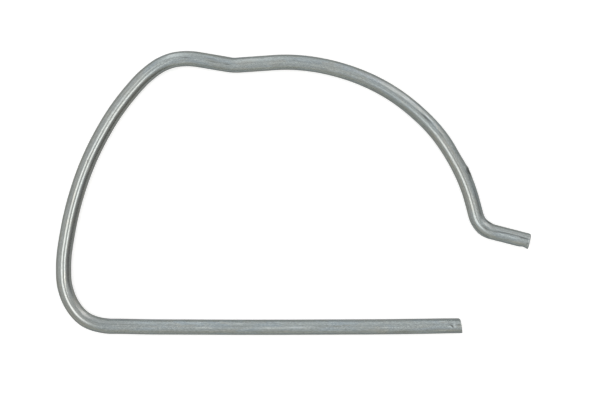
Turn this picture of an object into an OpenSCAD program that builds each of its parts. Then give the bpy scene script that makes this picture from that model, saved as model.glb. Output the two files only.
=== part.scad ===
// Retaining clip, bent in one plane from a single length of round spring wire.
// It lies on its side: the straight leg runs along X, the loop rises from it towards +Y,
// and the origin is under the middle of the clip's outline, on the surface it lies on.
// The wire is followed from the free end of the leg to the tip of the toe, straight and bend
// by turns. A direction is that of the wire after a bend, in degrees anticlockwise from +X.

/* [Wire] */
// Diameter of the round wire
wire_d = 3; // [2:0.1:4]
// Lean of the cropped face at each end, in degrees off square
crop_lean = 4; // [0:0.5:10]
// Radius of the edge that the cropping blade rolled over
crop_roll_r = 0.6; // [0.3:0.05:0.9]

/* [Leg and heel] */
// Straight length of the leg, from its cropped face to the heel
leg_l = 68.6; // [60:0.1:90]
// Inside radius of the heel
heel_r = 8.2; // [6:0.1:12]
// Direction after the heel
heel_dir = 88.5; // [80:0.5:100]

/* [Back] */
// Straight length between the heel and the back
foot_l = 1; // [0.5:0.1:4]
// Inside radius of the long curve of the back
back_r = 56.5; // [50:0.5:70]
// Direction after the back
back_dir = 48.5; // [40:0.5:55]

/* [Shoulder] */
// Straight length between the back and the shoulder
neck_l = 1; // [0.5:0.1:4]
// Inside radius of the shoulder
shoulder_r = 10.8; // [8:0.1:14]
// Direction after the shoulder
shoulder_dir = -9.5; // [-16:0.5:-4]

/* [Dip] */
// Straight length of the ramp from the shoulder down to the dip
ramp_down_l = 5.6; // [3:0.1:8]
// Inside radius of the dip
dip_r = 10.5; // [6:0.1:16]
// Direction after the dip
dip_dir = 3.5; // [0.5:0.5:8]

/* [Bow] */
// Straight length of the ramp from the dip up to the bow
ramp_up_l = 7; // [4:0.1:10]
// Inside radius of the bow
bow_r = 36.4; // [30:0.1:40]
// Direction after the bow
bow_dir = -76.5; // [-84:0.5:-70]

/* [Toe] */
// Straight length between the bow and the toe bend
shank_l = 1; // [0.5:0.1:4]
// Inside radius of the toe bend
toe_r = 3; // [2:0.1:5]
// Direction of the toe
toe_dir = -14.5; // [-30:0.5:0]
// Straight length of the toe, from its bend to its cropped face
toe_l = 7.6; // [5:0.1:12]

/* [Hidden] */
$fn = 96;

zinc_grey = [0.62, 0.65, 0.65];
wire_r = wire_d / 2;

// Bending swells the wire a little, so each straight ends just inside the bends beside it
bend_swell = 0.02;
run_in = 0.1;
bend_d = wire_d + bend_swell;

// Each straight, with the inside radius of the bend after it and the direction after that bend
bend_table = [
    [leg_l, heel_r, heel_dir],
    [foot_l, back_r, back_dir],
    [neck_l, shoulder_r, shoulder_dir],
    [ramp_down_l, dip_r, dip_dir],
    [ramp_up_l, bow_r, bow_dir],
    [shank_l, toe_r, toe_dir]
];
bends = len(bend_table);

// The leg is followed against X, so its free end looks the other way
leg_dir = 180;
leg_out_dir = 0;

// Unit vectors along a direction and to its left
function along(dir) = [cos(dir), sin(dir)];
function left(dir) = [-sin(dir), cos(dir)];

// A place on the wire is a point and a direction
function place(point, dir) = [point, dir];
function point(p) = p[0];
function dir(p) = p[1];
function ahead(p, length) = place(point(p) + length * along(dir(p)), dir(p));

// A bend that starts at place p: the side it turns to (1 left, -1 right), its centre, and its
// centreline point where the wire runs in a given direction
function bend_side(p, row) = sign(row[2] - dir(p));
function bend_axis_r(row) = row[1] + wire_r;
function bend_centre(p, row) = point(p) + bend_side(p, row) * bend_axis_r(row) * left(dir(p));
function on_bend(p, row, d) = bend_centre(p, row) - bend_side(p, row) * bend_axis_r(row) * left(d);

// Places where the straights start, from the free end of the leg to the start of the toe
function straight_starts(p, i = 0) =
    i == bends ? [p] :
    let (row = bend_table[i], bend_start = ahead(p, row[0]), d = row[2])
    concat([p], straight_starts(place(on_bend(bend_start, row, d), d), i + 1));
starts = straight_starts(place([0, 0], leg_dir));
bend_starts = [for (i = [0 : bends - 1]) ahead(starts[i], bend_table[i][0])];
tip = ahead(starts[bends], toe_l);

// The rolled edge's arc meets the cropped face and the wire's side at this angle
roll_break = 15;
roll_inset = crop_roll_r * cos(roll_break);

// Corners of a cropped face seen from above, where the wire ends at p pointing out_dir
function crop_corners(p, out_dir) =
    let (rolled = wire_r - roll_inset + crop_roll_r * sin(roll_break), sharp = -wire_r / cos(crop_lean))
    [for (reach = [rolled, sharp]) point(p) + reach * left(out_dir + crop_lean)];

// Both sides of a bend wherever it runs along X or Y, the only places where the outline turns back
function bend_limits(p, row) =
    let (low = min(dir(p), row[2]), high = max(dir(p), row[2]))
    [for (quarter = [ceil(low / 90) : floor(high / 90)], side = [-1, 1])
        on_bend(p, row, quarter * 90) + side * bend_d / 2 * left(quarter * 90)];

// Middle of the clip's outline, which lies over the origin
limits = concat(
    [for (i = [0 : bends - 1]) each bend_limits(bend_starts[i], bend_table[i])],
    crop_corners(starts[0], leg_out_dir),
    crop_corners(tip, toe_dir)
);
middle = [for (axis = [0, 1]) let (v = [for (p = limits) p[axis]]) (min(v) + max(v)) / 2];

// Puts what points along +X at the origin to place p, pointing along d
module at(p, d) {
    translate(concat(point(p), 0)) rotate(d) children();
}

// Straight wire along +X from the origin, run in to the bends at both ends
module straight_wire(length) {
    translate([-run_in, 0, 0]) rotate([0, 90, 0]) cylinder(d = wire_d, h = length + 2 * run_in);
}

// Bend that starts at the origin along +X and turns left by a positive angle
module bent_wire(axis_r, turn) {
    translate([0, sign(turn) * axis_r, 0])
        rotate(turn > 0 ? -90 : 90 + turn)
            rotate_extrude(angle = abs(turn)) translate([axis_r, 0]) circle(d = bend_d);
}

// What the cropping blade takes off a wire that points along +X and ends at the origin.
// The blade comes from +Y: it rolls that edge over and leaves the other one sharp.
module crop_waste() {
    rotate(crop_lean) {
        translate([0, -wire_d, -wire_d]) cube([wire_d, 2 * wire_d, 2 * wire_d]);
        difference() {
            translate([-roll_inset, wire_r - roll_inset, -wire_d]) cube([wire_d, wire_d, 2 * wire_d]);
            translate([-roll_inset, wire_r - roll_inset, -2 * wire_d]) cylinder(r = crop_roll_r, h = 4 * wire_d);
        }
    }
}

// Straight wire of a given length that points along +X and ends at the origin in a cropped face
module cropped_wire(length) {
    difference() {
        translate([-length, 0, 0]) straight_wire(length + wire_r);
        crop_waste();
    }
}

module wire_clip() {
    color(zinc_grey) translate([-middle[0], -middle[1], bend_d / 2]) {
        at(starts[0], leg_out_dir) cropped_wire(leg_l);
        for (i = [1 : bends - 1]) at(starts[i], dir(starts[i])) straight_wire(bend_table[i][0]);
        for (i = [0 : bends - 1]) {
            p = bend_starts[i];
            at(p, dir(p)) bent_wire(bend_axis_r(bend_table[i]), bend_table[i][2] - dir(p));
        }
        at(tip, toe_dir) cropped_wire(toe_l);
    }
}

wire_clip();
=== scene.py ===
"""A retaining clip bent from round zinc-plated wire, laid on a white floor."""
import math
from collections import namedtuple

import bpy
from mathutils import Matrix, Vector


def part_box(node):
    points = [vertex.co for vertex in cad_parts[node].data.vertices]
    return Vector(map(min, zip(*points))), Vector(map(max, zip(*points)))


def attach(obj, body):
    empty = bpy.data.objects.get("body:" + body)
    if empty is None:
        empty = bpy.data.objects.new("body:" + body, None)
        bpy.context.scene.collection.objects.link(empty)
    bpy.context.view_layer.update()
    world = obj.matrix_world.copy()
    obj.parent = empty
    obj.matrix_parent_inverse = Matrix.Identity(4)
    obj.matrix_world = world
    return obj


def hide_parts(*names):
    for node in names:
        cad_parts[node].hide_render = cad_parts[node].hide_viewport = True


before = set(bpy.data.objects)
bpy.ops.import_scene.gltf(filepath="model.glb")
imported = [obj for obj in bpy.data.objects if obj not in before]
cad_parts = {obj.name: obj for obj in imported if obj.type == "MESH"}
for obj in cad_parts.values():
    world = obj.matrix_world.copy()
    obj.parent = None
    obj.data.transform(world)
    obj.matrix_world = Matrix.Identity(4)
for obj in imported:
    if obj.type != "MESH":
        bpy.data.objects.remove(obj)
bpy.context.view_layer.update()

bl_info = {
    "name": "Retaining Clip",
    "version": (1, 0, 0),
    "blender": (4, 5, 0),
    "location": "View3D > Sidebar > Clip",
    "description": "Bends, crops and plates a wire retaining clip, and lays it in a studio",
    "category": "Add Mesh",
}

MM = 0.001
WIRE_R = 1.5 * MM
NODE = "wire_clip"
BODY = "root"


def length(name, description, millimetres):
    return bpy.props.FloatProperty(
        name=name, description=description, default=millimetres * MM, unit="LENGTH"
    )


def angle(name, description, degrees):
    return bpy.props.FloatProperty(
        name=name, description=description, default=math.radians(degrees), unit="ROTATION"
    )


def share(name, description, value):
    return bpy.props.FloatProperty(
        name=name, description=description, default=value, min=0.0, max=1.0, subtype="FACTOR"
    )


def colour(name, description, rgb):
    return bpy.props.FloatVectorProperty(
        name=name, description=description, default=rgb, size=3, min=0.0, max=1.0, subtype="COLOR"
    )


class ClipWire(bpy.types.PropertyGroup):
    """Sizes of the wire and of its bends, from the free end of the leg to the tip of the toe."""

    wire_d: length("Wire diameter", "Diameter of the round wire", 3)
    leg_l: length("Leg", "Straight length of the leg", 68.6)
    heel_r: length("Heel radius", "Inside radius of the heel", 8.2)
    heel_dir: angle("Heel direction", "Direction of the wire after the heel", 88.5)
    foot_l: length("Foot", "Straight length between the heel and the back", 1)
    back_r: length("Back radius", "Inside radius of the back", 56.5)
    back_dir: angle("Back direction", "Direction of the wire after the back", 48.5)
    neck_l: length("Neck", "Straight length between the back and the shoulder", 1)
    shoulder_r: length("Shoulder radius", "Inside radius of the shoulder", 10.8)
    shoulder_dir: angle("Shoulder direction", "Direction of the wire after the shoulder", -9.5)
    ramp_down_l: length("Ramp down", "Straight length from the shoulder to the dip", 5.6)
    dip_r: length("Dip radius", "Inside radius of the dip", 10.5)
    dip_dir: angle("Dip direction", "Direction of the wire after the dip", 3.5)
    ramp_up_l: length("Ramp up", "Straight length from the dip to the bow", 7)
    bow_r: length("Bow radius", "Inside radius of the bow", 36.4)
    bow_dir: angle("Bow direction", "Direction of the wire after the bow", -76.5)
    shank_l: length("Shank", "Straight length between the bow and the toe bend", 1)
    toe_r: length("Toe radius", "Inside radius of the toe bend", 3)
    toe_dir: angle("Toe direction", "Direction of the toe", -14.5)
    toe_l: length("Toe", "Straight length of the toe", 7.6)
    leg_lean: angle("Leg crop lean", "Lean of the leg's cropped face off square", 6.5)
    leg_trim: length("Leg trim", "What the crop took off the leg's length at its middle", 0.08)
    leg_roll: length("Leg rolled edge", "Rounding of the leg's edge where the cropping blade came in", 0.5)
    toe_lean: angle("Toe crop lean", "Lean of the toe's cropped face off square", 1.5)
    toe_trim: length("Toe trim", "What the crop took off the toe's length at its middle", 0.08)
    toe_roll: length("Toe rolled edge", "Rounding of the toe's edge where the cropping blade came in", 0.38)
    sharp_edge: length("Sharp edge", "Rounding of the edges where the cropping blade came out", 0.08)
    tear: length("Tear", "How deep the torn part of a cropped face lies", 0.06)
    burr: length("Burr", "How far the burr stands out under the tip of the toe", 0.04)
    ring_gap: length("Ring gap", "Distance between the rings of the mesh along the wire", 0.3)
    sides: bpy.props.IntProperty(name="Sides", description="Points round the wire", default=96, min=12)


class ClipFinish(bpy.types.PropertyGroup):
    """Colours and gloss of the plating."""

    zinc: colour("Zinc", "Main colour of the plating", (0.33, 0.365, 0.36))
    edge_tint: colour("Grazing tint", "Colour of the plating at a glancing angle", (0.56, 0.57, 0.55))
    # Dull zinc and the score colour also paint shade, and bright zinc paints highlights, on the streaks
    # listed below as painted.
    dull: colour("Dull zinc", "Colour of the duller streaks", (0.23, 0.25, 0.245))
    bright: colour("Bright zinc", "Colour of the rubbed streaks", (0.478, 0.515, 0.512))
    score: colour("Score", "Colour in the scores and nicks", (0.1, 0.105, 0.1))
    blue: colour("Blue cast", "Colour of the bluish patches of the plating", (0.312, 0.362, 0.384))
    olive: colour("Olive cast", "Colour of the warmer patches of the plating", (0.35, 0.365, 0.338))
    bare: colour("Bare steel", "Colour where the cropping blade sheared the steel", (0.34, 0.337, 0.325))
    torn: colour("Torn steel", "Colour where the steel tore off", (0.235, 0.23, 0.218))
    roughness: share("Roughness", "Roughness of the plating", 0.22)
    bare_roughness: share("Bare roughness", "Roughness of the cropped faces", 0.34)
    burnish: share("Burnish", "Roughness that the bending tools took off where they bore on the wire", 0.1)
    line_depth: length("Line depth", "Depth of the drawing lines along the wire", 0.009)


class ClipStage(bpy.types.PropertyGroup):
    """Floor, light and camera."""

    floor: colour("Floor", "Colour of the floor", (0.6, 0.6, 0.59))
    floor_glow: share("Floor glow", "White that the floor shows of itself", 0.55)
    metal_glow: share("Glow in metal", "Share of that white that shows in the metal", 0.05)
    floor_satin: share("Floor satin", "Roughness of the floor's gloss", 0.3)
    floor_w: bpy.props.FloatProperty(
        name="Floor width", description="Width of the floor", default=4, unit="LENGTH"
    )
    camera_height: bpy.props.FloatProperty(
        name="Camera height", description="Height of the camera over the clip", default=0.8, unit="LENGTH"
    )
    sensor_w: bpy.props.FloatProperty(
        name="Sensor", description="Width of the sensor, in millimetres", default=36
    )


class Link:
    """An output of a node. Arithmetic on it adds Math nodes to its tree, so that a formula reads as one."""

    def __init__(self, net, socket):
        self.net = net
        self.socket = socket

    def __add__(self, other):
        return self.net.math("ADD", self, other)

    __radd__ = __add__

    def __sub__(self, other):
        return self.net.math("SUBTRACT", self, other)

    def __rsub__(self, other):
        return self.net.math("SUBTRACT", other, self)

    def __mul__(self, other):
        return self.net.math("MULTIPLY", self, other)

    __rmul__ = __mul__

    def __truediv__(self, other):
        return self.net.math("DIVIDE", self, other)

    def __neg__(self):
        return self.net.math("MULTIPLY", self, -1.0)


# A Mix node's colour sockets, by their place among its sockets for every kind of data
MIX_FIRST = 6
MIX_SECOND = 7
MIX_RESULT = 2

# How strongly each finer layer of a noise shows against the one before
NOISE_ROUGHNESS = 0.6


class Net:
    """Builds a node tree."""

    def __init__(self, tree):
        self.tree = tree

    def node(self, kind, settings=None, values=None):
        """Adds a node, sets its settings, then the values or links of its sockets."""
        made = self.tree.nodes.new(kind)
        for name, value in (settings or {}).items():
            if name == "captures":
                for kept, socket_type in value.items():
                    made.capture_items.new(socket_type, kept)
            else:
                setattr(made, name, value)
        for key, value in (values or {}).items():
            socket = made.inputs[key]
            if isinstance(value, Link):
                self.tree.links.new(value.socket, socket)
            else:
                socket.default_value = value
        return made

    def get(self, kind, output=0, settings=None, values=None):
        """Adds a node and gives one of its outputs."""
        return Link(self, self.node(kind, settings, values).outputs[output])

    def math(self, operation, *terms):
        return self.get("ShaderNodeMath", 0, {"operation": operation}, dict(enumerate(terms)))

    def vector(self, operation, output, *terms):
        return self.get("ShaderNodeVectorMath", output, {"operation": operation}, dict(enumerate(terms)))

    def join(self, x, y, z):
        return self.get("ShaderNodeCombineXYZ", 0, None, {0: x, 1: y, 2: z})

    def split(self, vector):
        made = self.node("ShaderNodeSeparateXYZ", None, {0: vector})
        return [Link(self, socket) for socket in made.outputs]

    def rise(self, value, low, high):
        """Goes smoothly from 0 where value is low to 1 where it is high."""
        settings = {"interpolation_type": "SMOOTHSTEP", "clamp": True}
        return self.get("ShaderNodeMapRange", 0, settings, {0: value, 1: low, 2: high})

    def scale(self, vector, factor):
        return self.get("ShaderNodeVectorMath", 0, {"operation": "SCALE"}, {0: vector, "Scale": factor})

    def noise(self, place, detail):
        """Noise with grains about one unit wide, and finer layers of it up to a level of detail."""
        return self.get("ShaderNodeTexNoise", 0, {"noise_dimensions": "3D"}, {
            "Vector": place, "Scale": 1.0, "Detail": detail, "Roughness": NOISE_ROUGHNESS,
        })

    def bell(self, value, width):
        """A smooth hump, 1 where value is 0 and about a third of that at its width."""
        off = value / width
        return self.math("EXPONENT", -(off * off))

    def spot(self, distance, round_place, mark):
        """A smooth hump at a mark's place on the wire, of its length and width."""
        ahead = distance - mark.along * MM
        aside = round_place - math.radians(mark.round) * WIRE_R
        turn = math.radians(mark.slant)
        run = (ahead * math.cos(turn) + aside * math.sin(turn)) / (mark.length * MM)
        spread = (aside * math.cos(turn) - ahead * math.sin(turn)) / (mark.width * MM)
        return self.math("EXPONENT", -(run * run + spread * spread))

    def marks(self, distance, round_place, streaks):
        """The humps of a list of streaks together, each as high as its strength."""
        total = 0.0
        for streak in streaks:
            total = self.spot(distance, round_place, streak) * streak.strength + total
        return total

    def mix(self, factor, first, second):
        """Goes from the first colour to the second."""
        settings = {"data_type": "RGBA", "clamp_factor": True}
        values = {0: factor, MIX_FIRST: first, MIX_SECOND: second}
        return self.get("ShaderNodeMix", MIX_RESULT, settings, values)


def along(heading):
    return Vector((math.cos(heading), math.sin(heading)))


def left(heading):
    return Vector((-math.sin(heading), math.cos(heading)))


def even_steps(distance, gap):
    """Places along a stretch, about a gap apart, without its start and with its end."""
    count = max(1, math.ceil(distance / gap))
    return [distance * k / count for k in range(1, count + 1)]


# Rings crowd together towards both ends of the wire, where the edges are round. The rings that close a
# cropped face stand on the route past its end, and the tree lays them flat on the face.
END_ZONE = 1.5 * MM
END_RINGS = 24
FACE_ZONE = 0.2 * MM
FACE_RINGS = 14

# How far the wire's outline may end from the side of the frame's box
BOX_SLACK = 0.1 * MM


def wire_route(wire):
    """Points along the middle of the wire, from before the leg's free end to past the tip of the toe."""
    rows = [
        (wire.leg_l, wire.heel_r, wire.heel_dir),
        (wire.foot_l, wire.back_r, wire.back_dir),
        (wire.neck_l, wire.shoulder_r, wire.shoulder_dir),
        (wire.ramp_down_l, wire.dip_r, wire.dip_dir),
        (wire.ramp_up_l, wire.bow_r, wire.bow_dir),
        (wire.shank_l, wire.toe_r, wire.toe_dir),
    ]
    crowded = [FACE_ZONE * (k / FACE_RINGS - 1) for k in range(FACE_RINGS)]
    crowded += [END_ZONE * (k / END_RINGS) ** 2 for k in range(END_RINGS + 1)]
    point, heading = Vector((0, 0)), math.pi
    route = [point + step * along(heading) for step in crowded]
    done = END_ZONE
    for straight, inside_r, after in rows:
        steps = even_steps(straight - done, wire.ring_gap)
        route += [point + (done + step) * along(heading) for step in steps]
        point = route[-1]
        turn = after - heading
        reach = math.copysign(inside_r + wire.wire_d / 2, turn)
        centre = point + reach * left(heading)
        for step in even_steps(abs(turn * reach), wire.ring_gap):
            route.append(centre - reach * left(heading + step / reach))
        point, heading, done = route[-1], after, 0
    for step in even_steps(wire.toe_l - END_ZONE, wire.ring_gap):
        route.append(point + step * along(heading))
    tip = point + wire.toe_l * along(heading)
    route += [tip - step * along(heading) for step in reversed(crowded[:-1])]
    return route


def placed_route(wire):
    """The route moved to where the frame holds the wire, so that its outline fills the node's box."""
    low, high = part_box(NODE)
    axis_h = (high.z - low.z) / 2
    route = wire_route(wire)
    shift_x = low.x + axis_h - min(p.x for p in route)
    shift_y = low.y + axis_h - min(p.y for p in route)
    top = max(p.y for p in route) + shift_y + axis_h
    if abs(top - high.y) > BOX_SLACK:
        raise RuntimeError(f"the wire ends at {top:.5f} m where the frame's box ends at {high.y:.5f} m")
    return [Vector((p.x + shift_x, p.y + shift_y, low.z + axis_h)) for p in route]


# A dent in the wire, in millimetres: its distance from the leg's free end, its place round the wire from the
# top to the outside of the loop, in degrees, its length and width, its depth, and the turn of its length off
# the wire's own, in degrees. One with a negative depth is a swelling.
Dent = namedtuple("Dent", "name along round length width depth slant", defaults=(0,))
DENTS = [
    Dent("thinning of the free end", 0, 80, 4, 1.2, 0.07),
    Dent("cut near the free end", 1.95, 0, 0.42, 0.17, 0.02, -40),
    Dent("nick on the back", 107.5, 4, 0.3, 0.18, 0.006),
    Dent("pinch of the dip", 145.9, 90, 0.9, 1.2, 0.07),
    Dent("hollow of the bow", 196, 70, 1.8, 1.2, 0.13),
    Dent("lip of the hollow", 199.1, 75, 0.5, 0.9, -0.13),
    Dent("swelling past the lip", 200.3, 75, 0.9, 0.9, -0.08),
    Dent("swelling inside the toe bend", 211.7, 90, 0.9, 1.1, -0.09),
    Dent("swelling outside the toe bend", 211.4, -90, 1.4, 1.1, -0.07),
    Dent("hollow behind the burr", 219.7, -90, 0.6, 1.0, 0.16),
]

# A streak on the wire, placed as a dent is, and how strongly it shows
Streak = namedtuple("Streak", "name along round length width strength slant", defaults=(0,))

# Streaks that brighten the plating: real rubs, and painted highlights where the wire catches the light.
# Painted highlights: round the heel, at the end of the heel, round the toe bend, on the toe's tip and beside
# the cut; painted sheen outside the bow, and the rub past the shoulder is widened into painted sheen.
RUBS_AND_HIGHLIGHTS = [
    Streak("painted highlight beside the cut", 1.45, -2, 0.4, 0.2, 2.2, 90),
    Streak("pale rub along the leg", 32.5, -2, 2.8, 0.22, 0.9),
    Streak("pale rub further along the leg", 38.5, 4, 3, 0.2, 0.5),
    Streak("pale rub near the middle of the leg", 51, 0, 2, 0.22, 0.6),
    Streak("painted highlight round the heel", 76.3, 15, 3.6, 0.28, 1.6),
    Streak("painted highlight at the end of the heel", 81.7, -4, 1.6, 0.22, 0.6),
    Streak("pale spot on the shoulder", 133.9, 41, 0.5, 0.2, 1.4),
    Streak("bright rub on the shoulder", 135, 38, 2.2, 0.35, 0.8),
    Streak("bright rub past the shoulder", 151.5, 40, 3.5, 0.45, 0.8),
    Streak("painted sheen outside the bow", 178.5, 40, 3, 0.5, 0.6),
    Streak("painted highlight round the toe bend", 210.5, -19, 2.2, 0.3, 0.9),
    Streak("pale band along the toe", 217.4, -7, 2.4, 0.3, 0.6),
    Streak("painted highlight on the toe's tip", 220.5, -15, 0.16, 0.9, 1.2),
]

# Dark streaks that are also cut into the wire, this deep at a strength of 1.
# Most are scores. Past the lip, inside the toe bend and behind the burr they are painted shadow in hollows,
# and the cut near the free end has painted shade on its dark wall.
SCORE_DEPTH = 0.02 * MM
SCORES_AND_SHADOWS = [
    Streak("cut near the free end", 1.95, 0, 0.45, 0.19, 1.2, -40),
    Streak("scrape at the free end", 0.55, -9, 0.4, 0.17, 0.5),
    Streak("drawn line by the free end", 2, 46, 2.4, 0.13, 0.4),
    Streak("drawn line further along the leg", 11.5, 43, 2.2, 0.15, 0.7),
    Streak("nick on the back", 107.5, 4, 0.25, 0.12, 0.5),
    Streak("score along the shoulder", 136.6, 5, 1.2, 0.11, 0.8, -4),
    Streak("score on the ramp down", 142.2, 1, 1.3, 0.12, 0.9),
    Streak("upper score on the ramp down", 141.5, 21, 0.8, 0.11, 0.6),
    Streak("score before the dip", 144.8, -1, 0.7, 0.12, 0.8),
    Streak("long score on the bow", 186.6, 14, 1.5, 0.16, 0.95, 2),
    Streak("outer score on the bow", 184.4, 66, 0.7, 0.13, 0.6),
    Streak("short score on the bow", 191, 16, 0.7, 0.15, 0.55),
    Streak("scrape past the lip", 199.85, 58, 0.85, 0.36, 1.6),
    Streak("scrape inside the toe bend", 211.3, 64, 1.0, 0.24, 1.2),
    Streak("scrape on the ridge of the toe bend", 211.4, 3, 0.9, 0.22, 0.6, -8),
    Streak("score at the root of the toe", 214.5, 12, 1.8, 0.12, 0.95, 5),
    Streak("score along the toe", 217, 17, 1.3, 0.11, 0.6, 2),
    Streak("score at the tip of the toe", 219.2, 15, 1.1, 0.13, 0.95),
    Streak("hollow behind the burr", 220.4, -20, 0.22, 0.18, 0.8),
]

# Darker streaks. Painted shade that dims the wire's reflection at the end of the leg, outside the heel's
# highlight, on the side of the bow, on the ridge of the bow's foot, past the lip and inside the toe bend; the
# others are darker streaks on the plating.
DULLED_AND_SHADED = [
    Streak("middle of the leg", 43.5, -14, 2.4, 0.35, 0.55),
    Streak("end of the leg", 68, -36, 3, 0.45, 0.5),
    Streak("outside of the heel's highlight", 75.5, 28, 3.5, 0.22, 0.5),
    Streak("smudge on the back", 97.6, 11, 2.6, 0.3, 0.6),
    Streak("smudge outside the back", 100.5, 46, 2.6, 0.5, 0.45),
    Streak("side of the bow", 183, -12, 8, 1.0, 0.4),
    Streak("ridge of the bow's foot", 200.5, -3, 7, 0.3, 0.55),
    Streak("past the lip", 199.3, 44, 1.0, 0.3, 0.5),
    Streak("inside of the toe bend", 212, 38, 1.3, 0.7, 0.75),
]

# A slight sway of hand-bent wire, in millimetres: the distance of its middle from the leg's free end, how far
# it reaches each way, and how far the wire strays there to the outside of the loop
Sway = namedtuple("Sway", "name along reach off")
SWAYS = [
    Sway("free end of the leg", 0, 11, -0.2),
    Sway("middle of the leg", 40, 14, 0.07),
    Sway("end of the leg", 68, 4.5, -0.13),
    Sway("start of the heel", 74.4, 2.5, 0.19),
    Sway("end of the heel", 81, 2.5, -0.08),
    Sway("foot", 87.6, 3.4, 0.14),
    Sway("middle of the back", 101, 7, -0.065),
    Sway("end of the back", 119, 4.5, 0.07),
    Sway("neck", 128.5, 2, -0.1),
    Sway("shoulder", 133.8, 2.5, 0.07),
    Sway("ramp up to the bow", 155, 5, 0.06),
    Sway("start of the bow", 168, 7, -0.08),
    Sway("side of the bow", 190, 4, 0.085),
    Sway("foot of the bow", 206.5, 2.5, -0.065),
]

# The map that lays the surface out flat. The wire is unrolled in rows of one run each, and
# fills most of a row's height. The cropped faces lie enlarged in the last row, after the wire's end.
FLAT_MAP = "OFBake"
FLAT_ROWS = 5
FLAT_RUN = 46 * MM
FLAT_FILL = 0.94
FLAT_EDGE = 0.008
FLAT_SCALE = (1 - 2 * FLAT_EDGE) / FLAT_RUN
FACE_ENLARGED = 1.3
FACE_START = 2.55 * MM
FACE_STEP = 4.45 * MM

# A mesh face is part of a cropped face if it lies more than this share of the way to that face's middle
FACE_LEAST = 0.001


def flat_place(net, total, distance, side, height, on_face):
    """Each face corner's place on the flat map: the cropped faces as discs, the rest as unrolled strips."""
    def of_face(value):
        settings = {"data_type": "FLOAT", "domain": "FACE"}
        return net.get("GeometryNodeFieldOnDomain", 0, settings, {0: value})

    mid_side, mid_height, mid_distance = of_face(side), of_face(height), of_face(distance)
    row = net.math("FLOOR", mid_distance / FLAT_RUN)
    crosswise = side * mid_height - height * mid_side
    lengthwise = side * mid_side + height * mid_height
    turn = net.math("ARCTAN2", mid_side, mid_height) + net.math("ARCTAN2", crosswise, lengthwise)
    strip_x = distance - row * FLAT_RUN
    strip_y = (row + 0.5 + turn * (FLAT_FILL / math.tau)) / FLAT_ROWS

    shrunk = (1.0 - on_face) * FACE_ENLARGED
    at_toe = net.math("GREATER_THAN", mid_distance, total / 2)
    wire_end = total - (FLAT_ROWS - 1) * FLAT_RUN
    disc_x = wire_end + FACE_START + at_toe * FACE_STEP + side * shrunk
    disc_y = (FLAT_ROWS - 0.5) / FLAT_ROWS + height * shrunk * FLAT_SCALE
    cropped = net.math("GREATER_THAN", of_face(on_face), FACE_LEAST)
    flat_x = FLAT_EDGE + (strip_x + (disc_x - strip_x) * cropped) * FLAT_SCALE
    flat_y = strip_y + (disc_y - strip_y) * cropped
    return net.join(flat_x, flat_y, 0.0)


WIRE_INPUTS = (
    "Wire diameter", "Leg crop lean", "Leg trim", "Leg rolled edge", "Toe crop lean", "Toe trim",
    "Toe rolled edge", "Sharp edge", "Tear", "Burr",
)

# How far from an end its crop reaches, and where across the wire its edge starts to roll over and is full.
# Places across are shares of the wire's radius towards the side that the blade came from.
CROP_REACH = 4 * MM
ROLL_SPAN = (-0.3, 1.0)

# The torn part of a cropped face: where across it starts and is full, how far its edge waves, the share of
# the way in from the rim over which it comes in, the size and the detail of its lumps, and its least depth
# and theirs, both as shares of the tear
TEAR_SPAN = (0.35, 0.1)
TEAR_WAVE = 0.8
TEAR_RIM = 0.2
TEAR_GRAIN = 0.35 * MM
TEAR_DETAIL = 3
TEAR_LEAST = 0.2
TEAR_LUMPS = 1.6

# The burr: from how far off the tip it grows to where it is full, and the same across the wire
BURR_RUN = (1.0 * MM, 0.35 * MM)
BURR_SPAN = (0.45, 1.0)

# The share of the way in from a cropped face's rim over which its bare steel comes in
BARE_RIM = 0.1

# Points past this share of the way to a cropped face's middle are merged where they lie this close
POLE_SHARE = 0.99
POLE_GAP = 0.02 * MM


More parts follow.
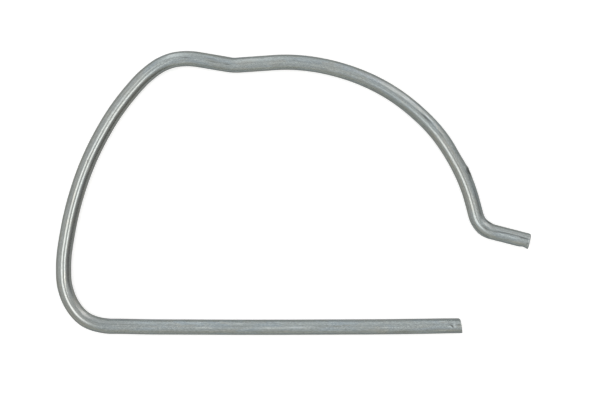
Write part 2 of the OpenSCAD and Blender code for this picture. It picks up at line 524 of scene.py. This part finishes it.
def wire_tree(total):
    """Sweeps round wire along a route, crops both ends, and dents it. The total is the wire's length."""
    tree = bpy.data.node_groups.new("Cropped wire", "GeometryNodeTree")
    face = tree.interface
    face.new_socket("Route", in_out="INPUT", socket_type="NodeSocketGeometry")
    for name in WIRE_INPUTS:
        face.new_socket(name, in_out="INPUT", socket_type="NodeSocketFloat")
    face.new_socket("Sides", in_out="INPUT", socket_type="NodeSocketInt")
    face.new_socket("Finish", in_out="INPUT", socket_type="NodeSocketMaterial")
    face.new_socket("Wire", in_out="OUTPUT", socket_type="NodeSocketGeometry")
    net = Net(tree)
    given = {s.name: Link(net, s) for s in net.node("NodeGroupInput").outputs}
    wire_r = given["Wire diameter"] * 0.5

    curve = net.get("GeometryNodeMeshToCurve", 0, None, {0: given["Route"]})
    curve = net.get("GeometryNodeSetCurveNormal", 0, {"mode": "Z_UP"}, {0: curve})
    kept = net.node("GeometryNodeCaptureAttribute", {
        "domain": "POINT", "captures": {"centre": "VECTOR", "heading": "VECTOR", "distance": "FLOAT"},
    }, {
        0: curve,
        1: net.get("GeometryNodeInputPosition"),
        2: net.get("GeometryNodeInputTangent"),
        3: net.get("GeometryNodeSplineParameter", "Length"),
    })
    curve, centre, heading, distance = [Link(net, kept.outputs[i]) for i in range(4)]
    distance = distance - FACE_ZONE
    ring = net.get("GeometryNodeCurvePrimitiveCircle", 0, {"mode": "RADIUS"}, {
        "Resolution": given["Sides"], "Radius": wire_r,
    })
    wire = net.get("GeometryNodeCurveToMesh", 0, None, {
        "Curve": curve, "Profile Curve": ring, "Fill Caps": False,
    })

    # place on the straight wire before bending: distance, reach to the outside of the loop, and height
    reach = net.vector("SUBTRACT", 0, net.get("GeometryNodeInputPosition"), centre)
    heading_x, heading_y, _ = net.split(heading)
    outward = net.join(-heading_y, heading_x, 0.0)
    side = net.vector("DOT_PRODUCT", 1, reach, outward)
    height = net.split(reach)[2]
    out = side / wire_r
    up = height / wire_r

    dent = 0.0
    round_place = net.math("ARCTAN2", out, up) * wire_r
    for mark in DENTS:
        dent = net.spot(distance, round_place, mark) * (mark.depth * MM) + dent
    dent = dent + net.marks(distance, round_place, SCORES_AND_SHADOWS) * SCORE_DEPTH

    # the cropping blade comes in from inside the loop at the leg, and from outside it at the toe
    from_toe = total - distance
    inset, forward, on_face, torn_face = 0.0, 0.0, 0.0, 0.0
    for end, gap, blade_side, inward in (("Leg", distance, -out, 1.0), ("Toe", from_toe, out, -1.0)):
        edge = given["Sharp edge"]
        edge = edge + (given[f"{end} rolled edge"] - edge) * net.rise(blade_side, *ROLL_SPAN)
        short = net.math("MAXIMUM", edge - net.math("MAXIMUM", gap, 0.0), 0.0)
        inset = edge - net.math("SQRT", net.math("MAXIMUM", edge * edge - short * short, 0.0)) + inset
        past = net.math("MAXIMUM", -gap, 0.0)
        drawn_in = past / FACE_ZONE
        on_face = on_face + drawn_in
        # the blade sheared the near part of the face smooth and the rest tore off
        across = blade_side * (1.0 - drawn_in)
        spread = net.scale(net.join(0.0, side, height), (1.0 - drawn_in) / TEAR_GRAIN)
        rough = net.noise(spread, TEAR_DETAIL)
        torn = net.rise(across + TEAR_WAVE * (rough - 0.5), *TEAR_SPAN) * net.rise(drawn_in, 0.0, TEAR_RIM)
        torn_face = torn_face + torn
        lean = across * wire_r * net.math("TANGENT", given[f"{end} crop lean"])
        near = net.rise(gap, CROP_REACH, 0.0)
        depth = torn * (TEAR_LEAST + TEAR_LUMPS * rough) * given["Tear"]
        forward = (past + depth + near * (lean + given[f"{end} trim"])) * inward + forward

    size = (1.0 - (inset + dent) / wire_r) * (1.0 - on_face)
    burr = given["Burr"] * net.rise(from_toe, *BURR_RUN) * net.rise(-out, *BURR_SPAN) * (1.0 - on_face)
    stray = 0.0
    for sway in SWAYS:
        stray = net.bell(distance - sway.along * MM, sway.reach * MM) * (sway.off * MM) + stray
    spot = net.vector("ADD", 0, centre, net.scale(reach, size))
    spot = net.vector("ADD", 0, spot, net.scale(heading, forward))
    spot = net.vector("ADD", 0, spot, net.scale(outward, stray - burr))
    place = net.join(distance, side * (1.0 - on_face), height * (1.0 - on_face))

    wire = net.get("GeometryNodeStoreNamedAttribute", 0, {"data_type": "FLOAT_VECTOR", "domain": "POINT"}, {
        "Geometry": wire, "Name": "wire_place", "Value": place,
    })
    for name, value in (("cropped_face", net.rise(on_face, 0.0, BARE_RIM)), ("torn_face", torn_face)):
        wire = net.get("GeometryNodeStoreNamedAttribute", 0, {"data_type": "FLOAT", "domain": "POINT"}, {
            "Geometry": wire, "Name": name, "Value": value,
        })
    flat = flat_place(net, total, distance, side, height, on_face)
    wire = net.get("GeometryNodeStoreNamedAttribute", 0, {"data_type": "FLOAT2", "domain": "CORNER"}, {
        "Geometry": wire, "Name": FLAT_MAP, "Value": flat,
    })
    wire = net.get("GeometryNodeSetPosition", 0, None, {"Geometry": wire, "Position": spot})
    wire = net.get("GeometryNodeMergeByDistance", 0, None, {
        "Geometry": wire, "Selection": net.math("GREATER_THAN", on_face, POLE_SHARE), "Distance": POLE_GAP,
    })
    wire = net.get("GeometryNodeRealizeInstances", 0, None, {"Geometry": wire})
    wire = net.get("GeometryNodeSetMaterial", 0, None, {"Geometry": wire, "Material": given["Finish"]})
    net.node("NodeGroupOutput", None, {0: wire})
    return tree


def set_inputs(modifier, values):
    """Sets a node modifier's inputs by their names in the tree."""
    for item in modifier.node_group.interface.items_tree:
        if item.item_type == "SOCKET" and item.in_out == "INPUT" and item.name in values:
            modifier[item.identifier] = values[item.name]


# A stretch of the wire that the bending tools bore on, in millimetres from the leg's free end, how softly it
# begins and ends, and how far the outside of the loop was spared
Stretch = namedtuple("Stretch", "name start end fade spared")
TOOLED = [
    Stretch("heel and back", 74, 128, 7, 0),
    Stretch("foot of the bow", 190, 208.5, 5, 1),
]
TOOLED_TINT = (1.05, 1.002, 0.97)
SPARED_SIDE = 0.8 * WIRE_R

# Streaks that the bending tools smoothed, or left rougher where the strength is negative
BURNISHED = [
    Streak("heel", 78, 0, 7, 1.3, 0.9),
    Streak("back", 98, 0, 19, 1.3, 0.9),
    Streak("bow, left rougher", 183, -10, 7, 1.0, -0.6),
    Streak("foot of the bow", 206, -5, 8, 1.2, 0.3),
]

# Noise on the wire: the size of its grains along the wire, across it and up it, in millimetres, its level of
# detail, and a shift that tells it from the others
Grain = namedtuple("Grain", "run breadth rise detail shift")
GRAINS = {
    "lines": Grain(14, 0.28, 0.28, 3, 3.7),
    "fine lines": Grain(5, 0.11, 0.11, 2, 11.3),
    "bands": Grain(22, 0.8, 0.8, 2, 5.1),
    "rubs": Grain(4.5, 0.6, 0.6, 3, 23.9),
    "casts": Grain(5, 1.3, 1.3, 2, 31.4),
    "warmth": Grain(3.5, 1, 1, 2, 43.1),
    "grain": Grain(0.55, 0.24, 0.24, 2, 7.7),
    "speckle": Grain(0.42, 0.15, 0.15, 1, 53.3),
    "scratches": Grain(2.4, 0.05, 0.05, 3, 61.7),
    "shear lines": Grain(9, 1.4, 0.07, 3, 71.9),
    "grit": Grain(9, 0.16, 0.16, 4, 83.1),
}

# A tone that noise lays over the plating: the values of the noise where it starts and is full, its share
# there, its share on the tooled stretches, and its colour
Tone = namedtuple("Tone", "noise start full share tooled_share colour")
TONES = [
    Tone("casts", 0.42, 0.66, 1.0, 0.4, "blue"),
    Tone("warmth", 0.5, 0.7, 0.8, 0.8, "olive"),
    Tone("bands", 0.52, 0.75, 0.75, 0.75, "dull"),
    Tone("lines", 0.52, 0.72, 0.6, 0.6, "dull"),
    Tone("grain", 0.5, 0.75, 0.5, 0.5, "dull"),
    Tone("grain", 0.5, 0.25, 0.35, 0.35, "bright"),
    Tone("speckle", 0.5, 0.72, 0.44, 0.08, "dull"),
    Tone("speckle", 0.5, 0.28, 0.35, 0.07, "bright"),
    Tone("scratches", 0.5, 0.66, 0.3, 0.3, "dull"),
    Tone("scratches", 0.5, 0.34, 0.22, 0.22, "bright"),
]

# Rubs and painted highlights: the noise values of the stray rubs and their share, those that a listed rub or
# painted highlight fills, and the share at which both show
STRAY_RUBS = (0.6, 0.74)
STRAY_SHARE = 0.7
RUB_AND_HIGHLIGHT_SPAN = (0.3, 0.6)
RUB_AND_HIGHLIGHT_SHARE = 0.8

# Scores, darkened streaks and the painted shade among them show at least this share, and the rest of them
# where the lines have these values
MARK_LEAST = 0.55
MARK_SPAN = (0.35, 0.6)

# The cropped faces: the noise values of the dark shear lines and their share, and those of the dark grit
SHEAR_SPAN = (0.48, 0.68)
SHEAR_SHARE = 0.5
GRIT_SPAN = (0.2, 0.62)

# What rubs and painted highlights, bands, grain and the torn faces add to the roughness, and the noise values
# of those bands
RUB_AND_HIGHLIGHT_ROUGHNESS = 0.08
BAND_ROUGHNESS = 0.06
GRAIN_ROUGHNESS = 0.05
TORN_ROUGHNESS = 0.12
BAND_SPAN = (0.5, 0.8)

# Heights of the relief in line depths: on the drawn wire, less a share where it is smoothed, in its
# scratches, and on the cropped faces
DRAWN_RELIEF = {"lines": 0.6, "fine lines": 0.22, "rubs": 0.12, "grain": 0.04}
SMOOTHED_SHARE = 0.4
SCRATCH_RELIEF = 0.03
SHEAR_RELIEF = 0.9
GRIT_RELIEF = 1.3


def wire_noise(net, place, grain):
    """Noise of one grain on the straight wire."""
    sizes = (grain.run, grain.breadth, grain.rise)
    scaled = net.vector("MULTIPLY", 0, place, tuple(1 / (size * MM) for size in sizes))
    return net.noise(net.vector("ADD", 0, scaled, (grain.shift, 0.0, 0.0)), grain.detail)


def tooled_stretches(net, distance, side):
    """Goes to 1 on the stretches that the bending tools bore on."""
    tooled = 0.0
    for stretch in TOOLED:
        half = stretch.fade / 2
        begun = net.rise(distance, (stretch.start - half) * MM, (stretch.start + half) * MM)
        ended = net.rise(distance, (stretch.end - half) * MM, (stretch.end + half) * MM)
        spared = stretch.spared * net.rise(side, 0.0, SPARED_SIDE)
        tooled = (begun - ended) * (1.0 - spared) + tooled
    return tooled


def plated_zinc(finish):
    """Zinc plating with the wire's lines, streaks, rubs and scores, painted highlights and painted shade, and
    bare steel on the cropped faces.
    """
    material = bpy.data.materials.new("plated_wire")
    material.use_nodes = True
    material.node_tree.nodes.clear()
    net = Net(material.node_tree)
    place = net.get("ShaderNodeAttribute", "Vector", {"attribute_name": "wire_place"})
    bare = net.get("ShaderNodeAttribute", "Fac", {"attribute_name": "cropped_face"})
    torn = net.get("ShaderNodeAttribute", "Fac", {"attribute_name": "torn_face"})
    noise = {name: wire_noise(net, place, grain) for name, grain in GRAINS.items()}
    distance, side, height = net.split(place)
    round_place = net.math("ARCTAN2", side, height) * WIRE_R
    worn_and_highlit, scored_and_shaded, dulled_and_shaded, smoothed = [
        net.marks(distance, round_place, streaks) for streaks in (RUBS_AND_HIGHLIGHTS, SCORES_AND_SHADOWS, DULLED_AND_SHADED, BURNISHED)
    ]
    tooled = tooled_stretches(net, distance, side)

    base = (*finish.zinc, 1)
    for tone in TONES:
        shown = tone.share + (tone.tooled_share - tone.share) * tooled
        shown = shown * net.rise(noise[tone.noise], tone.start, tone.full)
        base = net.mix(shown, base, (*getattr(finish, tone.colour), 1))
    # Stray rubs, listed rubs and painted highlights take the bright zinc colour
    stray = net.rise(noise["rubs"], *STRAY_RUBS) * STRAY_SHARE
    rubbed_and_highlit = net.math("MINIMUM", stray + worn_and_highlit * net.rise(noise["rubs"], *RUB_AND_HIGHLIGHT_SPAN), 1.0)
    base = net.mix(rubbed_and_highlit * RUB_AND_HIGHLIGHT_SHARE, base, (*finish.bright, 1))
    patchy = MARK_LEAST + (1 - MARK_LEAST) * net.rise(noise["lines"], *MARK_SPAN)
    # Darkened streaks and painted shade take the dull zinc colour
    base = net.mix(dulled_and_shaded * patchy, base, (*finish.dull, 1))
    # Scores and painted shadow in hollows take the score colour
    cut = net.math("MINIMUM", scored_and_shaded * patchy, 1.0)
    base = net.mix(cut, base, (*finish.score, 1))
    base = net.vector("MULTIPLY", 0, base, net.mix(tooled, (1, 1, 1, 1), (*TOOLED_TINT, 1)))
    sheared = net.rise(noise["shear lines"], *SHEAR_SPAN) * SHEAR_SHARE
    darkened = sheared + (net.rise(noise["grit"], *GRIT_SPAN) - sheared) * torn
    base = net.mix(bare, base, net.mix(darkened, (*finish.bare, 1), (*finish.torn, 1)))

    roughness = finish.roughness + rubbed_and_highlit * RUB_AND_HIGHLIGHT_ROUGHNESS
    roughness = roughness + net.rise(noise["bands"], *BAND_SPAN) * BAND_ROUGHNESS
    roughness = roughness + (noise["grain"] - 0.5) * GRAIN_ROUGHNESS
    roughness = roughness - net.math("MINIMUM", smoothed, 1.0) * finish.burnish
    roughness = roughness + (finish.bare_roughness + TORN_ROUGHNESS * torn - roughness) * bare

    drawn = 0.0
    for name, relief in DRAWN_RELIEF.items():
        drawn = noise[name] * relief + drawn
    drawn = drawn * (1.0 - SMOOTHED_SHARE * smoothed) + noise["scratches"] * SCRATCH_RELIEF - cut
    cropped = noise["shear lines"] * SHEAR_RELIEF * (1.0 - torn) + noise["grit"] * GRIT_RELIEF * torn
    bump = net.get("ShaderNodeBump", 0, None, {
        "Strength": 1.0, "Distance": finish.line_depth, "Height": drawn + (cropped - drawn) * bare,
    })
    surface = net.get("ShaderNodeBsdfPrincipled", 0, {"distribution": "MULTI_GGX"}, {
        "Base Color": base, "Metallic": 1.0, "Roughness": roughness, "Normal": bump,
        "Specular Tint": (*finish.edge_tint, 1),
    })
    net.node("ShaderNodeOutputMaterial", None, {"Surface": surface})
    return material


# Edges sharper than this stay crisp
CRISP_ANGLE = math.radians(40)


class CLIP_OT_bend_wire(bpy.types.Operator):
    """Bend the wire, crop its ends, mark it and plate it"""

    bl_idname = "clip.bend_wire"
    bl_label = "Bend Wire"

    def execute(self, context):
        wire, finish = context.scene.clip_wire, context.scene.clip_finish
        route = placed_route(wire)
        line = bpy.data.meshes.new("wire_route")
        line.from_pydata(route, [(k, k + 1) for k in range(len(route) - 1)], [])
        host = bpy.data.objects.new("wire_route", line)
        context.collection.objects.link(host)
        total = sum((b - a).length for a, b in zip(route, route[1:])) - 2 * FACE_ZONE
        sweep = host.modifiers.new("Cropped wire", "NODES")
        sweep.node_group = wire_tree(total)
        set_inputs(sweep, {
            "Wire diameter": wire.wire_d,
            "Leg crop lean": wire.leg_lean,
            "Leg trim": wire.leg_trim,
            "Leg rolled edge": wire.leg_roll,
            "Toe crop lean": wire.toe_lean,
            "Toe trim": wire.toe_trim,
            "Toe rolled edge": wire.toe_roll,
            "Sharp edge": wire.sharp_edge,
            "Tear": wire.tear,
            "Burr": wire.burr,
            "Sides": wire.sides,
            "Finish": plated_zinc(finish),
        })
        graph = context.evaluated_depsgraph_get()
        mesh = bpy.data.meshes.new_from_object(host.evaluated_get(graph))
        bpy.data.objects.remove(host)
        if not mesh.polygons:
            raise RuntimeError("the wire came out empty")
        mesh.shade_smooth()
        mesh.set_sharp_from_angle(angle=CRISP_ANGLE)
        mesh.name = "bent_wire"
        piece = bpy.data.objects.new("bent_wire", mesh)
        context.collection.objects.link(piece)
        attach(piece, BODY)
        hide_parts(NODE)
        return {"FINISHED"}


# Photograph's frame: its size in pixels, the pixel where the leg's free end has its middle, and the wire's
# width in pixels
PHOTO_W = 599
PHOTO_H = 419
LEG_END_PX = (461.35, 326.43)
WIRE_PX = 15.25

# Gloss of the floor's paint
FLOOR_IOR = 1.8


def white_floor(stage):
    """White floor that glows to the camera, and a little in the metal, and keeps the clip's soft shadow."""
    material = bpy.data.materials.new("white_floor")
    material.use_nodes = True
    material.node_tree.nodes.clear()
    net = Net(material.node_tree)
    rays = net.node("ShaderNodeLightPath").outputs
    mirrored = Link(net, rays["Is Glossy Ray"]) + Link(net, rays["Is Transmission Ray"])
    seen = Link(net, rays["Is Camera Ray"]) + mirrored * stage.metal_glow
    paint = net.get("ShaderNodeBsdfPrincipled", 0, None, {
        "Base Color": (*stage.floor, 1), "Roughness": stage.floor_satin, "IOR": FLOOR_IOR,
    })
    glow = net.get("ShaderNodeEmission", 0, None, {
        "Color": (1, 1, 1, 1), "Strength": net.math("MINIMUM", seen, 1.0) * stage.floor_glow,
    })
    both = net.get("ShaderNodeAddShader", 0, None, {0: paint, 1: glow})
    net.node("ShaderNodeOutputMaterial", None, {"Surface": both})
    return material


# A soft box overhead, by where it stands in the sky (x to the right, y up the picture), its half size and its
# light. Its edge fades out between these shares of its half size.
SoftBox = namedtuple("SoftBox", "name x y half_x half_y light")
SOFT_BOXES = [
    SoftBox("left box", -0.385, -0.1, 0.175, 0.27, 1.5),
    SoftBox("upper left box", -0.35, 0.27, 0.16, 0.17, 0.55),
    SoftBox("right box", 0.3, -0.13, 0.15, 0.18, 1.9),
    SoftBox("far right box", 0.51, 0.63, 0.17, 0.17, 0.75),
    SoftBox("far left box", -0.22, 0.84, 0.12, 0.2, 0.54),
]
BOX_FADE = (1.25, 0.75)

# A side of the dome that is brighter or dimmer, by the way it lies, how far that way it starts and is full,
# the heights where it starts and is full, and its light. ANY_HEIGHT takes in the whole sky.
DomeSide = namedtuple("DomeSide", "name x y span heights light")
ANY_HEIGHT = (2.0, 1.0)
DOME_LIGHT = 0.9
DOME_SIDES = [
    DomeSide("far side", 0, 1, (0.3, 0.75), ANY_HEIGHT, 0.11),
    DomeSide("near left side", -0.6, -0.8, (0.5, 0.95), ANY_HEIGHT, -0.2),
    DomeSide("far side by the floor", -0.26, 0.97, (-0.1, 0.8), (0.4, 0.05), 0.13),
    DomeSide("left side by the floor", -0.94, 0.34, (0.75, 0.98), (0.4, 0.1), -0.1),
]

# The side that is in shade, and how much darker it is all the way up and again by the floor
SHADE = DomeSide("right side", 0.906, -0.423, (0.44, 0.88), (0.22, 0.0), -0.62)
SHADE_BY_FLOOR = 0.45

# A tint of the sky's light, and between which places it comes in: across, up the picture, and in height
Tint = namedtuple("Tint", "name colour x y z")
TINTS = [
    Tint("warm near side", (1.035, 1.0, 0.895), None, (-0.05, -0.6), (0.75, 0.15)),
    Tint("cool far side", (0.99, 1.0, 1.012), None, (0.1, 0.7), None),
    Tint("warm far right", (1.05, 1.0, 0.995), (0.1, 0.45), (0.45, 0.7), None),
]


def studio_light(world):
    """White dome with soft boxes round the camera, dimmer to the right, that shows the camera plain white."""
    world.use_nodes = True
    world.node_tree.nodes.clear()
    net = Net(world.node_tree)
    x, y, z = net.split(net.get("ShaderNodeTexCoord", "Generated"))

    def towards(side):
        return net.rise(side.x * x + side.y * y, *side.span)

    light = DOME_LIGHT
    for side in DOME_SIDES:
        light = light + side.light * towards(side) * net.rise(z, *side.heights)
    shade = towards(SHADE)
    light = light * (1.0 + SHADE.light * shade)
    light = light * (1.0 - SHADE_BY_FLOOR * shade * net.rise(z, *SHADE.heights))
    for box in SOFT_BOXES:
        across = net.math("ABSOLUTE", x - box.x) / box.half_x
        down = net.math("ABSOLUTE", y - box.y) / box.half_y
        light = light + box.light * net.rise(across, *BOX_FADE) * net.rise(down, *BOX_FADE)

    camera = Link(net, net.node("ShaderNodeLightPath").outputs["Is Camera Ray"])
    light = light * (1.0 - camera) + camera
    sky_colour = (1, 1, 1, 1)
    for tint in TINTS:
        shown = 1.0 - camera
        for value, span in ((x, tint.x), (y, tint.y), (z, tint.z)):
            if span:
                shown = shown * net.rise(value, *span)
        sky_colour = net.mix(shown, sky_colour, (*tint.colour, 1))
    sky = net.get("ShaderNodeBackground", 0, None, {"Color": sky_colour, "Strength": light})
    net.node("ShaderNodeOutputWorld", None, {"Surface": sky})


class CLIP_OT_set_stage(bpy.types.Operator):
    """Lay the floor, light the clip and set the camera over it"""

    bl_idname = "clip.set_stage"
    bl_label = "Set Stage"

    def execute(self, context):
        scene, stage, wire = context.scene, context.scene.clip_stage, context.scene.clip_wire
        half = stage.floor_w / 2
        mesh = bpy.data.meshes.new("floor")
        corners = [(-half, -half, 0), (half, -half, 0), (half, half, 0), (-half, half, 0)]
        mesh.from_pydata(corners, [], [(0, 1, 2, 3)])
        mesh.materials.append(white_floor(stage))
        floor = bpy.data.objects.new("floor", mesh)
        context.collection.objects.link(floor)

        scene.world = bpy.data.worlds.new("studio")
        studio_light(scene.world)

        leg_end = placed_route(wire)[FACE_RINGS]
        per_px = wire.wire_d / WIRE_PX
        data = bpy.data.cameras.new("camera")
        data.sensor_width = stage.sensor_w
        data.lens = stage.sensor_w * stage.camera_height / (PHOTO_W * per_px)
        camera = bpy.data.objects.new("camera", data)
        camera.location = (
            leg_end.x + ((PHOTO_W - 1) / 2 - LEG_END_PX[0]) * per_px,
            leg_end.y - ((PHOTO_H - 1) / 2 - LEG_END_PX[1]) * per_px,
            leg_end.z + stage.camera_height,
        )
        context.collection.objects.link(camera)
        scene.camera = camera
        scene.view_settings.view_transform = "Standard"
        return {"FINISHED"}


class VIEW3D_PT_clip(bpy.types.Panel):
    """Sizes, finish and stage of the clip"""

    bl_label = "Retaining Clip"
    bl_idname = "VIEW3D_PT_clip"
    bl_space_type = "VIEW_3D"
    bl_region_type = "UI"
    bl_category = "Clip"

    def draw(self, context):
        for group, operator in (
            (context.scene.clip_wire, None),
            (context.scene.clip_finish, CLIP_OT_bend_wire),
            (context.scene.clip_stage, CLIP_OT_set_stage),
        ):
            box = self.layout.box()
            for name in group.__annotations__:
                box.prop(group, name)
            if operator:
                box.operator(operator.bl_idname)


CLASSES = (ClipWire, ClipFinish, ClipStage, CLIP_OT_bend_wire, CLIP_OT_set_stage, VIEW3D_PT_clip)
GROUPS = {"clip_wire": ClipWire, "clip_finish": ClipFinish, "clip_stage": ClipStage}


def register():
    for cls in CLASSES:
        bpy.utils.register_class(cls)
    for name, group in GROUPS.items():
        setattr(bpy.types.Scene, name, bpy.props.PointerProperty(type=group))


def unregister():
    for name in GROUPS:
        delattr(bpy.types.Scene, name)
    for cls in reversed(CLASSES):
        bpy.utils.unregister_class(cls)


def main():
    register()
    bpy.ops.clip.bend_wire()
    bpy.ops.clip.set_stage()


if __name__ == "__main__":
    main()
